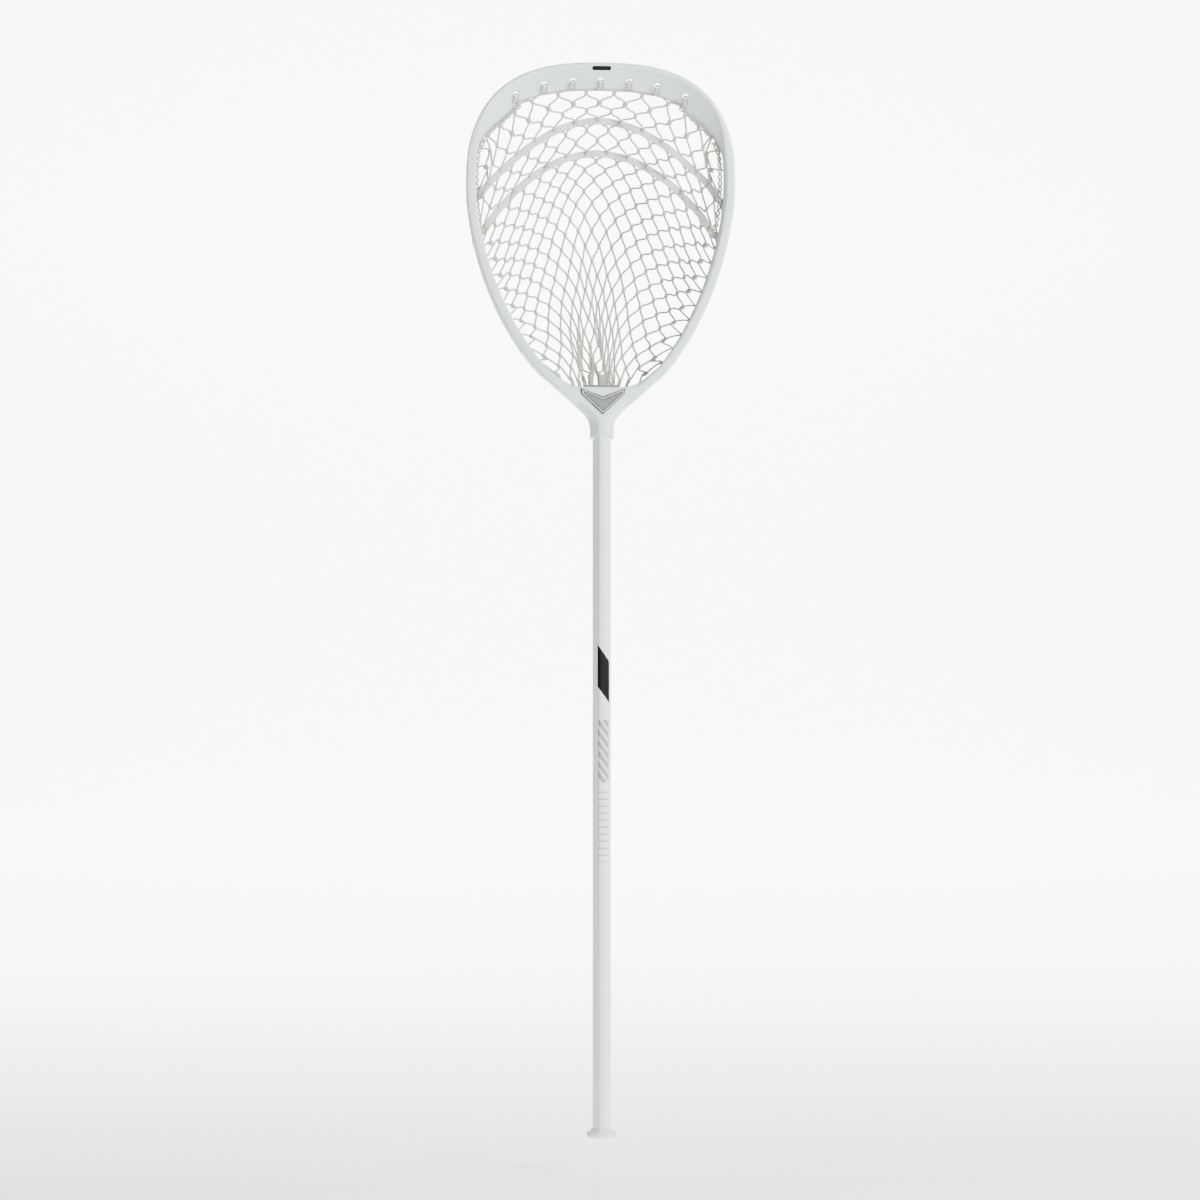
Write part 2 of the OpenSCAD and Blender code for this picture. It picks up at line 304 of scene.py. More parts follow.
def feed(tree, node, inputs):
    """Links or sets a node's inputs."""
    for key, value in inputs.items():
        if isinstance(value, bpy.types.NodeSocket):
            tree.links.new(value, node.inputs[key])
        else:
            node.inputs[key].default_value = value


def add_node(tree, kind, inputs, **settings):
    made = tree.nodes.new(kind)
    for key, value in settings.items():
        setattr(made, key, value)
    feed(tree, made, inputs)
    return made


def object_place(tree):
    return add_node(tree, "ShaderNodeTexCoord", {}).outputs["Object"]


def split(tree, vector):
    """The X, Y and Z of a vector."""
    return add_node(tree, "ShaderNodeSeparateXYZ", {"Vector": vector}).outputs


def along_cord(tree):
    """Round the cord as a share of a turn, and the length along it."""
    return split(tree, add_node(tree, "ShaderNodeUVMap", {}, uv_map="along").outputs[0])[:2]


def noise(tree, scale, detail, stretch=(1, 1, 1)):
    place = object_place(tree)
    if stretch != (1, 1, 1):
        place = add_node(tree, "ShaderNodeMapping", {"Vector": place, "Scale": stretch}).outputs[0]
    made = add_node(tree, "ShaderNodeTexNoise", {"Vector": place, "Scale": scale, "Detail": detail})
    return made.outputs["Fac"]


def math_node(tree, operation, *values):
    return add_node(tree, "ShaderNodeMath", dict(enumerate(values)), operation=operation).outputs[0]


def times(tree, first, *others):
    for other in others:
        first = math_node(tree, "MULTIPLY", first, other)
    return first


def below(tree, value, high):
    """1 where value is less than high, else 0."""
    return math_node(tree, "LESS_THAN", value, high)


def between(tree, value, low, high):
    """1 where value lies between low and high, else 0."""
    return times(tree, math_node(tree, "GREATER_THAN", value, low), below(tree, value, high))


def blend_color(tree, factor, first, second):
    """Colors are (red, green, blue) or an output of another node."""
    first, second = ((*c, 1) if isinstance(c, tuple) else c for c in (first, second))
    return add_node(tree, "ShaderNodeMix", {0: factor, 6: first, 7: second}, data_type="RGBA").outputs[2]


def ramp(tree, value, low, high, to_low=0.0, to_high=1.0):
    limits = {"From Min": low, "From Max": high, "To Min": to_low, "To Max": to_high}
    return add_node(tree, "ShaderNodeMapRange", {"Value": value, **limits}).outputs["Result"]


def set_bump(tree, shader, height, distance, strength=1.0):
    bump = add_node(tree, "ShaderNodeBump", {"Height": height, "Distance": distance, "Strength": strength})
    tree.links.new(bump.outputs["Normal"], shader.inputs["Normal"])


PRINT_BLACK = (0.008, 0.008, 0.009)


def moulded_plastic():
    """The head's white plastic: a bluish white with a faint mottle and orange peel, and a plain dark pill on
    the scoop where such heads carry a mark."""
    material, tree, shader = node_kit("moulded_plastic")
    x, y, z = split(tree, object_place(tree))
    base = blend_color(tree, noise(tree, 9, 4), (0.61, 0.71, 0.75), (0.69, 0.78, 0.81))
    # a pill: points closer than its radius to a short line along X
    along = math_node(tree, "ABSOLUTE", math_node(tree, "ADD", x, 1 * MM))
    along = math_node(tree, "MAXIMUM", math_node(tree, "SUBTRACT", along, 9.5 * MM), 0.0)
    up = math_node(tree, "SUBTRACT", z, TOP - 8.2 * MM)
    reach = math_node(tree, "SQRT", math_node(tree, "ADD", times(tree, along, along), times(tree, up, up)))
    pill = times(tree, below(tree, reach, 2.4 * MM), below(tree, y, -6.2 * MM))
    feed(tree, shader, {"Base Color": blend_color(tree, pill, base, PRINT_BLACK),
                        "Roughness": ramp(tree, noise(tree, 40, 2), 0.3, 0.7, 0.3, 0.42),
                        "Specular IOR Level": ramp(tree, pill, 0, 1, 0.5, 0.05)})
    set_bump(tree, shader, noise(tree, 420, 2), 0.06 * MM, 0.6)
    return material


def shaft_coat():
    """White coat over alloy, with plain grey bars printed down its front and fine scuffs."""
    material, tree, shader = node_kit("shaft_coat")
    x, y, z = split(tree, object_place(tree))
    front = below(tree, y, -4.4 * MM)
    across = math_node(tree, "ABSOLUTE", math_node(tree, "SUBTRACT", x, 1.2 * MM))
    slant = math_node(tree, "ADD", z, times(tree, x, 1.4))
    dark_bar = times(tree, between(tree, slant, 0.546, 0.598), below(tree, across, 7.4 * MM))
    # grey slanted stripes, and a ladder of thin grey rungs below them
    stripe = math_node(tree, "MODULO", math_node(tree, "ADD", slant, 1.0), 12.8 * MM)
    stripes = times(tree, between(tree, z, 0.437, 0.514), between(tree, stripe, 2.6 * MM, 11 * MM),
                    below(tree, across, 6.6 * MM))
    rung = math_node(tree, "MODULO", z, 8.6 * MM)
    rungs = times(tree, between(tree, z, 0.339, 0.432), between(tree, rung, 3.0 * MM, 4.6 * MM),
                  below(tree, across, 6.4 * MM))
    color = blend_color(tree, noise(tree, 14, 4), (0.70, 0.765, 0.785), (0.77, 0.825, 0.84))
    for mask, ink in ((dark_bar, PRINT_BLACK), (stripes, (0.27, 0.27, 0.25)), (rungs, (0.30, 0.305, 0.30))):
        color = blend_color(tree, times(tree, mask, front), color, ink)
    scuff = noise(tree, 1.0, 3, (900, 900, 14))         # fine and lengthwise
    feed(tree, shader, {"Base Color": color, "Roughness": ramp(tree, scuff, 0.35, 0.75, 0.3, 0.46),
                        "Specular IOR Level": ramp(tree, dark_bar, 0, 1, 0.5, 0.05)})
    set_bump(tree, shader, scuff, 0.02 * MM, 0.5)
    return material


def cord_fibre(name, dark, light, pitch):
    """Twisted cord: strands that wind round it, from the tube's own length, and a fuzz of fibre. The colour
    runs dark into the grooves between the strands as painted shade; the fuzz and a mottle vary its tone.
    """
    material, tree, shader = node_kit(name)
    u, v = along_cord(tree)
    turn = math_node(tree, "ADD", times(tree, u, 2.0), math_node(tree, "DIVIDE", v, pitch))
    ply = ramp(tree, math_node(tree, "SINE", times(tree, turn, math.tau)), -1, 1)
    fuzz = noise(tree, 1500, 2)
    # painted shade: the colour darkens into the grooves between the strands, times a random fuzz and mottle
    shade = times(tree, math_node(tree, "POWER", ply, 0.5), ramp(tree, fuzz, 0.2, 0.8, 0.75, 1),
                  ramp(tree, noise(tree, 30, 3), 0.3, 0.7, 0.86, 1))
    feed(tree, shader, {"Base Color": blend_color(tree, shade, dark, light), "Roughness": 0.72,
                        "Sheen Weight": 0.2})
    set_bump(tree, shader, math_node(tree, "ADD", ply, times(tree, fuzz, 0.4)), 0.25 * MM)
    return material


def woven_lace():
    """A flat woven lace: a herringbone of fine ribs across its width, and a faint mottle. The colour darkens
    in the troughs between the ribs as painted shade.
    """
    material, tree, shader = node_kit("woven_lace")
    u, v = along_cord(tree)
    fold = math_node(tree, "PINGPONG", times(tree, u, 8.0), 0.5)
    rib = math_node(tree, "ADD", math_node(tree, "DIVIDE", v, 1.3 * MM), times(tree, fold, 1.6))
    wave = ramp(tree, math_node(tree, "SINE", times(tree, rib, math.tau)), -1, 1)
    # painted shade: the colour darkens in the troughs between the ribs, times a faint mottle
    shade = times(tree, ramp(tree, wave, 0, 1, 0.55, 1), ramp(tree, noise(tree, 60, 3), 0.3, 0.7, 0.82, 1))
    feed(tree, shader, {"Base Color": blend_color(tree, shade, (0.42, 0.445, 0.425), (0.76, 0.79, 0.765)),
                        "Roughness": 0.8, "Sheen Weight": 0.25})
    set_bump(tree, shader, wave, 0.3 * MM)
    return material


def silver_plate(name, color, roughness, metallic=0.5):
    """Brushed metal, or a smooth dull paint where metallic is 0."""
    material, tree, shader = node_kit(name)
    brushed = noise(tree, 1.0, 2, (60, 60, 2600))
    feed(tree, shader, {"Base Color": blend_color(tree, brushed, tuple(c * 0.82 for c in color), color),
                        "Roughness": ramp(tree, brushed, 0.3, 0.7, roughness, roughness + 0.14),
                        "Metallic": metallic, "Specular IOR Level": metallic})
    set_bump(tree, shader, brushed, 0.02 * MM, 0.6)
    return material


def cap_rubber():
    material, tree, shader = node_kit("cap_rubber")
    grain = noise(tree, 900, 3)
    color = blend_color(tree, noise(tree, 70, 4), (0.70, 0.72, 0.73), (0.80, 0.815, 0.82))
    feed(tree, shader, {"Base Color": color, "Roughness": ramp(tree, grain, 0.3, 0.7, 0.55, 0.72)})
    set_bump(tree, shader, grain, 0.08 * MM, 0.7)
    return material


def felt_foam():
    material, tree, shader = node_kit("felt_foam")
    grain = noise(tree, 1400, 4)
    color = blend_color(tree, grain, (0.10, 0.105, 0.10), (0.25, 0.26, 0.25))
    feed(tree, shader, {"Base Color": color, "Roughness": 0.95, "Sheen Weight": 0.3})
    set_bump(tree, shader, grain, 0.4 * MM)
    return material


# ---- the head's rim
def outline(sign, height, n, angle):
    """(x, z, outward normal x, z) of the head's right-hand outline."""
    c, s = max(0.0, math.cos(angle)), max(0.0, math.sin(angle))
    x, z = HALF_W * c ** (2 / n), sign * height * s ** (2 / n)
    g = unit(np.array([(x / HALF_W) ** (n - 1) / HALF_W, sign * (abs(z) / height) ** (n - 1) / height]))
    return np.array([x, WIDE + z, *g])


def straight_foot(p):
    """An outline point of the lower rim, laid on the straight run into the throat when it's low enough."""
    if p[1] >= FOOT_Z:
        return p
    normal = mix(p[2:], unit(np.array([1, -FOOT_SLOPE])), smooth(0, 8 * MM, FOOT_Z - p[1]))
    return np.array([FOOT_X + FOOT_SLOPE * (p[1] - FOOT_Z), p[1], *unit(normal)])


def half_rim(steps):
    low = [straight_foot(outline(-1, LOW_H, LOW_N, LOW_END * i / steps)) for i in range(steps, 0, -1)]
    return np.array(low + [outline(1, UP_H, UP_N, math.pi / 2 * i / steps) for i in range(steps + 1)])


def whole_rim(steps):
    right = half_rim(steps)
    return np.vstack([right, right[-2::-1] * (-1, 1, -1, 1)])


def rise(z):
    return min(1, max(0, (z - SHELF) / HEAD_H))


def front_y(z):
    return (-12 + 14 * math.sin(math.pi * rise(z)) - 3.8 * (1 - smooth(0, 0.2, rise(z)))) * MM


def back_y(z):
    return 16 * MM + (WALL_D - 14 * MM) * math.sin(math.pi * rise(z) ** 0.75)


def scoop_share(z):
    return smooth(TOP - 112 * MM, TOP - 40 * MM, z)


def on_rim(p, inward, y):
    """The point at a depth into the rim from its outline point p, at height y front to back."""
    return np.array([p[0] - p[2] * inward, y, p[1] - p[3] * inward])


def wall_section(f, b):
    f, b = f / MM, b / MM
    return np.array([(1.5, f), (10.5, f), (12, f + 1.5), (12, f + 8), (7.5, f + 11), (7.5, b - 10),
                     (11, b - 7.5), (11, b - 1.5), (9.5, b), (3, b), (1.5, b - 1.5), (1.5, b - 8),
                     (2.5, b - 11), (2.5, f + 12), (0, f + 8.5), (0, f + 1.5)]) * MM


def scoop_section(f, b):
    f, b, w = f / MM, b / MM, SCOOP_W / MM - 2
    run = math.hypot(w, b - f)
    d = np.array([w, b - f]) / run
    m = np.array([d[1], -d[0]])
    face = [(0, -1.5), (0, 2), (1.5, 3.2), (7, 3.2), (9, 2.4), (run - 7, 2.4), (run - 5, 3), (run - 1.5, 3),
            (run, 1.8), (run, -1.2), (run - 1.5, -2.4), (run - 7, -2.4), (run - 9, -2.2), (9, -2.2),
            (7, -2.6), (1.5, -2.6)]
    return np.array([np.array([2, f]) + d * p[0] + m * p[1] for p in face]) * MM


def rim_section(z):
    f, b = front_y(z), back_y(z)
    return mix(wall_section(f, b), scoop_section(f, b), scoop_share(z))


def make_rim():
    rings = []
    for p in whole_rim(72):
        section = rounded(rim_section(p[1]), 1.6 * MM)
        rings.append(np.array([on_rim(p, *q) for q in section]))
    return skin("head_rim", rings)


def octagon(w, d, flat, side):
    return [(flat, -d), (w, -side), (w, side), (flat, d), (-flat, d), (-w, side), (-w, -side), (-flat, -d)]


def tube_section(grow):
    """The tube's octagon, grown outward. grow is in metres."""
    return octagon(TUBE_W + grow, TUBE_D + grow, 3.5 * MM + grow * 0.43, 5 * MM + grow * 0.39)


def throat_section(z):
    h = (z - NECK) / MM
    t = smooth(14, NECK_LEN / MM, h)
    w = 14.4 + 4.48 * math.log(1 + math.exp((h - 24.6) / 4))
    flat = mix(4.6, w - 9, smooth(8, NECK_LEN / MM - 12, h))
    front, back = 15.8, mix(15.8, 17, t)
    low, high = mix(-6.6, -7, t), mix(6.6, 10, t)
    return np.array([(-flat, -front), (-w, low), (-w, high), (-flat, back),
                     (flat, back), (w, high), (w, low), (flat, -front)]) * MM


def prism(name, section, z0, z1):
    return skin(name, [np.array([(x, y, z) for x, y in section]) for z in (z0, z1)])


def rod(name, a, b, radius, sides=32):
    """A plain cylinder from a to b, used as a cutter."""
    a, b = np.asarray(a, dtype=float), np.asarray(b, dtype=float)
    d = unit(b - a)
    u = unit(np.cross(d, (0.3, 0.2, 0.9)))
    v = np.cross(d, u)
    ring = [u * math.cos(t) + v * math.sin(t) for t in np.arange(sides) * math.tau / sides]
    return skin(name, [np.array([c + radius * r for r in ring]) for c in (a, b)])


def slot_cutter(center, long_way, through, length, radius, depth):
    """A round-ended slot through a wall, used as a cutter."""
    long_way, through = unit(np.asarray(long_way, dtype=float)), unit(np.asarray(through, dtype=float))
    across = np.cross(long_way, through)
    ring = []
    for sign in (1, -1):
        for a in np.linspace(-math.pi / 2, math.pi / 2, 10):
            ring.append(center + sign * (long_way * ((length / 2 - radius) + radius * math.cos(a))
                                         + across * radius * math.sin(a)))
    ring = np.array(ring)
    return skin("slot", [ring - through * depth / 2, ring + through * depth / 2])


def side_station(z):
    """The right-hand rim's outline point at a height."""
    rim = half_rim(200)
    return rim[np.argmin(abs(rim[:, 1] - z))]


# heights of the side walls' lacing holes, from the throat up
SIDE_HOLES = [SHELF + (24 + 18.7 * i) * MM for i in range(10)]
SIDE_HOLES += [SIDE_HOLES[-1] + 40.2 * MM * i for i in (1, 2, 3)]
SCOOP_HOLES = [35 * MM * i for i in range(-3, 4)]


def scoop_z(x):
    return WIDE + UP_H * (1 - (abs(x) / HALF_W) ** UP_N) ** (1 / UP_N)


def head_cutters():
    """Everything that is cut out of the head, as one mesh of separate closed solids."""
    made = []
    for side in ((1, 1, 1), (-1, 1, 1)):
        for i in range(8):
            p = side_station(SHELF + (52 + i * 216 / 7) * MM)
            f, b = front_y(p[1]) + 13.5 * MM, back_y(p[1]) - 12.5 * MM
            center = on_rim(p, 5 * MM, (f + b) / 2)
            made.append(slot_cutter(center * side, np.array([-p[3], 0, p[2]]) * side,
                                    np.array([p[2], 0, p[3]]) * side, 22 * MM, (b - f) / 2, 20 * MM))
        for z in SIDE_HOLES:
            p = side_station(z)
            a, b = (on_rim(p, inward, back_y(p[1]) - 4.2 * MM) * side for inward in (-6 * MM, 18 * MM))
            made.append(rod("side_hole", a, b, 1.8 * MM, 20))
    for x in SCOOP_HOLES:
        center = np.array([x, 0, scoop_z(x) - HOLE_DOWN])
        made.append(slot_cutter(center, (1, 0, 0), (0, 1, 0), 8 * MM, 2.3 * MM, 90 * MM))
    return joined(made)


# the fillet between the shelf and a wall: (x, height above the shelf) in mm
FILLET = [(24, -0.4), (28, 0.2), (33, 1.3), (39, 3.0), (45, 5.6), (50, 8.8), (55, 12.5), (60, 16.6),
          (65, 20.8), (70, 25.0)]


def make_head():
    head = make_rim()
    throat = skin("throat", [np.array([(x, y, z) for x, y in rounded(throat_section(z), 2.2 * MM)])
                             for z in (NECK + NECK_LEN * i / 40 for i in range(41))])
    boolean(head, throat, "UNION")
    boolean(head, head_cutters(), "DIFFERENCE")
    boolean(head, prism("socket", tube_section(0.1 * MM), NECK - 5 * MM, SHELF - 3 * MM), "DIFFERENCE")
    arch_z = NECK - 13.8 * MM
    boolean(head, rod("arch", (0, -0.04, arch_z), (0, 0.04, arch_z), 19.3 * MM, 96), "DIFFERENCE")
    screw_z = NECK + 24 * MM
    boolean(head, rod("seat", (0, 14.8 * MM, screw_z), (0, 30 * MM, screw_z), 3.7 * MM), "DIFFERENCE")
    # fillets where the walls meet the throat's shelf, which the even mesh below takes in
    fillets = []
    for side in (-1, 1):
        slices = []
        for x, up in FILLET:
            z = SHELF + up * MM
            f, b = front_y(z) + 1.6 * MM, 15 * MM
            slices.append(np.array([(side * x * MM, y, h)
                                    for y, h in ((f, z), (b, z), (b, z - 5 * MM), (f, z - 5 * MM))]))
        fillets.append(skin("fillet", slices))
    joined([head] + fillets)
    # moulded edges: an even fine mesh, relaxed a little
    even = head.modifiers.new("even", "REMESH")
    even.mode = "VOXEL"
    even.voxel_size = 1.4 * MM
    relax = head.modifiers.new("relax", "SMOOTH")
    relax.factor = 0.5
    relax.iterations = 4
    apply_modifiers(head)
    shade_smooth(head)
    head.name = "head_shell"
    return dress(head, moulded_plastic(), "stick", ["head_frame"])


# ---- the tube, its cap and the small parts
def make_shaft():
    outer = rounded(tube_section(0), 1.5 * MM, 4)
    inner = rounded(tube_section(-1.4 * MM), 1.2 * MM, 4)
    rings = []
    for section, z in ((inner, TUBE_TOP), (outer, TUBE_TOP), (outer, TUBE_FOOT), (inner, TUBE_FOOT)):
        rings.append(np.array([(x, y, z) for x, y in section]))
    tube = skin("alloy_tube", rings, closed=True)
    shade_smooth(tube, 40)
    return dress(tube, shaft_coat(), "stick", ["shaft"])


def make_cap():
    """Lathed flange with a soft rolled edge, an octagonal collar and the plug."""
    reach, _, plug_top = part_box("end_cap")[1]
    # half profile: flat foot, rolled edge, shoulder
    edge = [(0.35 * reach, 0.0), (0.69 * reach, 0.0)]
    edge += [(reach - 4.6 * MM + 4.6 * MM * math.sin(a), 4.6 * MM - 4.6 * MM * math.cos(a))
             for a in np.linspace(0.35, math.pi / 2, 8)]
    edge += [(reach - 3.4 * MM + 3.4 * MM * math.cos(a), 4.6 * MM + 2.9 * MM * math.sin(a))
             for a in np.linspace(0.25, math.pi / 2, 6)]
    edge += [(0.72 * reach, 8.3 * MM), (0.35 * reach, 8.3 * MM)]
    sides = 96
    rings = [np.array([(r * math.cos(t), r * math.sin(t), z) for r, z in edge])
             for t in np.arange(sides) * math.tau / sides]
    cap = skin("butt_cap", rings, closed=True)
    collar = skin("collar", [
        np.array([(x, y, z * MM) for x, y in rounded(tube_section(grow * MM), 2 * MM, 4)])
        for grow, z in ((3.4, 2), (3.2, 8.2), (2.3, 9.1), (1.9, 10.2), (1.5, 11))])
    boolean(cap, collar, "UNION")
    boolean(cap, prism("middle", tube_section(-2 * MM), 0, 9 * MM), "UNION")
    groove = prism("groove", tube_section(0.1 * MM), TUBE_FOOT, 30 * MM)
    boolean(cap, groove, "DIFFERENCE")
    boolean(cap, prism("plug", rounded(tube_section(-1.5 * MM), 1.2 * MM, 4), 4 * MM, plug_top), "UNION")
    boolean(cap, rod("hollow", (0, 0, 8 * MM), (0, 0, 0.06), 6.5 * MM), "DIFFERENCE")
    shade_smooth(cap, 38)
    return dress(cap, cap_rubber(), "cap", ["end_cap"])


def make_badge():
    """A chevron plate: a dark outline, a bright bevel, a dark groove and a brushed face."""
    (_, front, _), (_, back, _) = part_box("throat_badge")

    def ring(inset, y):
        """The chevron, narrowed by inset mm all round, at y."""
        g = inset
        points = [(0, -34 + 1.35 * g), (26.5 - 0.85 * g, -9 + 0.25 * g), (27.6 - 1.05 * g, -1.8 - 1.1 * g),
                  (0, -12 - 1.1 * g), (-27.6 + 1.05 * g, -1.8 - 1.1 * g), (-26.5 + 0.85 * g, -9 + 0.25 * g)]
        return np.array([(x * MM, y, SHELF + z * MM) for x, z in points])

    def plate(name, rings, coat, closed):
        """A part of the badge. rings holds (inset in mm, half mm behind the front, or None for the back)."""
        made = [ring(inset, back if behind is None else front + behind * 0.5 * MM) for inset, behind in rings]
        piece = skin(name, made, closed)
        shade_smooth(piece, 12)
        dress(piece, coat, "stick", ["throat_badge"])

    dark, bright = (0.03, 0.03, 0.032), (0.80, 0.81, 0.82)
    for name, color, metallic, rings in (
            ("badge_outline", dark, 0, ((0, None), (0, 1), (0.3, 0.4), (1.2, 0.4), (1.6, 1.2), (1.6, None))),
            ("badge_bevel", bright, 0.4, ((1.6, None), (1.6, 1), (1.9, 0), (2.5, 0), (2.9, 1.4),
                                          (2.9, None))),
            ("badge_groove", dark, 0, ((2.9, None), (2.9, 1.7), (3.8, 1.7), (3.8, None)))):
        plate(name, rings, silver_plate(name + "_coat", color, 0.34, metallic), True)
    plate("badge_face", ((3.8, None), (3.8, 1.6), (4.1, 1.2), (4.5, 0.9)),
          silver_plate("badge_silver", (0.15, 0.154, 0.16), 0.36), False)


def make_ball_stop():
    """A foam pad with a crowned top and rounded corners."""
    (x0, y0, z0), (x1, y1, z1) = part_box("ball_stop")
    cx, cy, w, d = (x0 + x1) / 2, (y0 + y1) / 2, (x1 - x0) / 2, (y1 - y0) / 2
    rings = []
    for shrink, up in ((1.2, 0), (0.2, 0.12), (0, 0.4), (0.2, 0.72), (1, 0.93), (3, 1.02), (7, 1.06)):
        s = shrink * MM
        box = rounded([(-w + s, -d + s), (w - s, -d + s), (w - s, d - s), (-w + s, d - s)], 4 * MM, 5)
        rings.append(np.array([(cx + x, cy + y, z0 + (z1 - z0) * up) for x, y in box]))
    pad = skin("ball_stop_pad", rings)
    shade_smooth(pad, 60)
    dress(pad, felt_foam(), "stick", ["ball_stop"])


def dress_screw():
    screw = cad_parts["head_screw"]
    screw.data.materials.clear()
    screw.data.materials.append(silver_plate("screw_zinc", (0.55, 0.55, 0.56), 0.3))


# ---- the pocket
ROWS = 25                   # half rows of cells, from the scoop to the throat
CORD = 15.8 * MM            # a slanted cord between two knots
TOP_CORD = 18.0 * MM        # the same below the top row, which the top string stretches
KNOT = 5.5 * MM             # a knot, along its length
CORD_R = 1.4 * MM
SIDE_PUSH = 0.06            # the force on the net's sides, next to that on its middle
WORN_HALF = 45 * MM         # half the width of the worn middle
STIFF = 0.25                # how well a cord withstands being folded, next to being stretched
DAMPING = 0.985
TOP_PITCH = 35.5 * MM       # between the middle knots of the top row
UPPER_ROW, LOWER_ROW = 3, 6
# by the row that a lace runs along: its ends' height above the shelf, how far it arches up, and its length
LACES = {UPPER_ROW: (234.5 * MM, 98 * MM, 408 * MM), LOWER_ROW: (192.5 * MM, 101 * MM, 401 * MM)}
ARCH_DROP, ARCH_HALF = 86 * MM, 142 * MM        # how far that arch drops, at how far out
LACE_HOLD = 0.05
# heights that the net's sides are tied at, from the scoop down: the side walls' holes
TIES = SIDE_HOLES[::-1]
# where the last row is tied, by column: (x, y, z above the shelf) in mm. Two pairs of columns share a bundle.
BUNDLES = {-12.0: (-2.5, -1.5), 0.0: (-0.5, 0.5)}
THROAT_TIES = {-6.5: (-47, 14, 13), -5.5: (-33, 14, 6), -4.5: (-25.5, 14, 3), -3.5: (-19, 14, 3),
               1.5: (6, 14, 3), 2.5: (10.5, 14, 3), 3.5: (15.5, 14, 3), 4.5: (22, 14, 3), 5.5: (32, 14, 5),
               6.5: (48, 14, 14)}
for bundle_x, columns in BUNDLES.items():
    for step, column in zip((-1.2, 1.2), columns):
        THROAT_TIES[column] = (bundle_x + step, 14, 13)


def knots_in(row):
    """The columns of a row's knots. Even rows lie half a cell off the odd rows."""
    return [c / 2 for c in range(-13, 14, 2)] if row % 2 == 0 else [float(c) for c in range(-6, 7)]


def inner_edge(steps=120):
    """The line inside the rim that the net is tied to, from the throat up the right side to the scoop."""
    line = []
    for p in half_rim(steps):
        s = scoop_share(p[1])
        line.append(on_rim(p, mix(12.5 * MM, SCOOP_W + 1.5 * MM, s), mix(back_y(p[1]) - 4 * MM, 16 * MM, s)))
    return np.array(line)


def edge_at(line, z, side):
    """The point of that line at a height. side is 1 on the right and -1 on the left."""
    point = line[np.argmin(abs(line[:, 2] - z))].copy()
    point[0] *= side
    return point


def top_ties(line):
    """Where the top row is tied: evenly under the scoop, and closer round its shoulders, down to just below
    the walls' topmost holes."""
    run = np.r_[0, np.cumsum(np.linalg.norm(np.diff(line, axis=0), axis=1))]
    shoulder = run[np.argmin(abs(line[:, 2] - (TIES[0] - 18 * MM)))]
    ties = {}
    for column in knots_in(0):
        at = np.interp(abs(column), (0, 2.5, 6.5), (run[-1], run[-1] - TOP_PITCH * 2.5, shoulder))
        point = np.array([np.interp(at, run, line[:, k]) for k in range(3)])
        point[0] *= math.copysign(1, column)
        ties[column] = point
    return ties


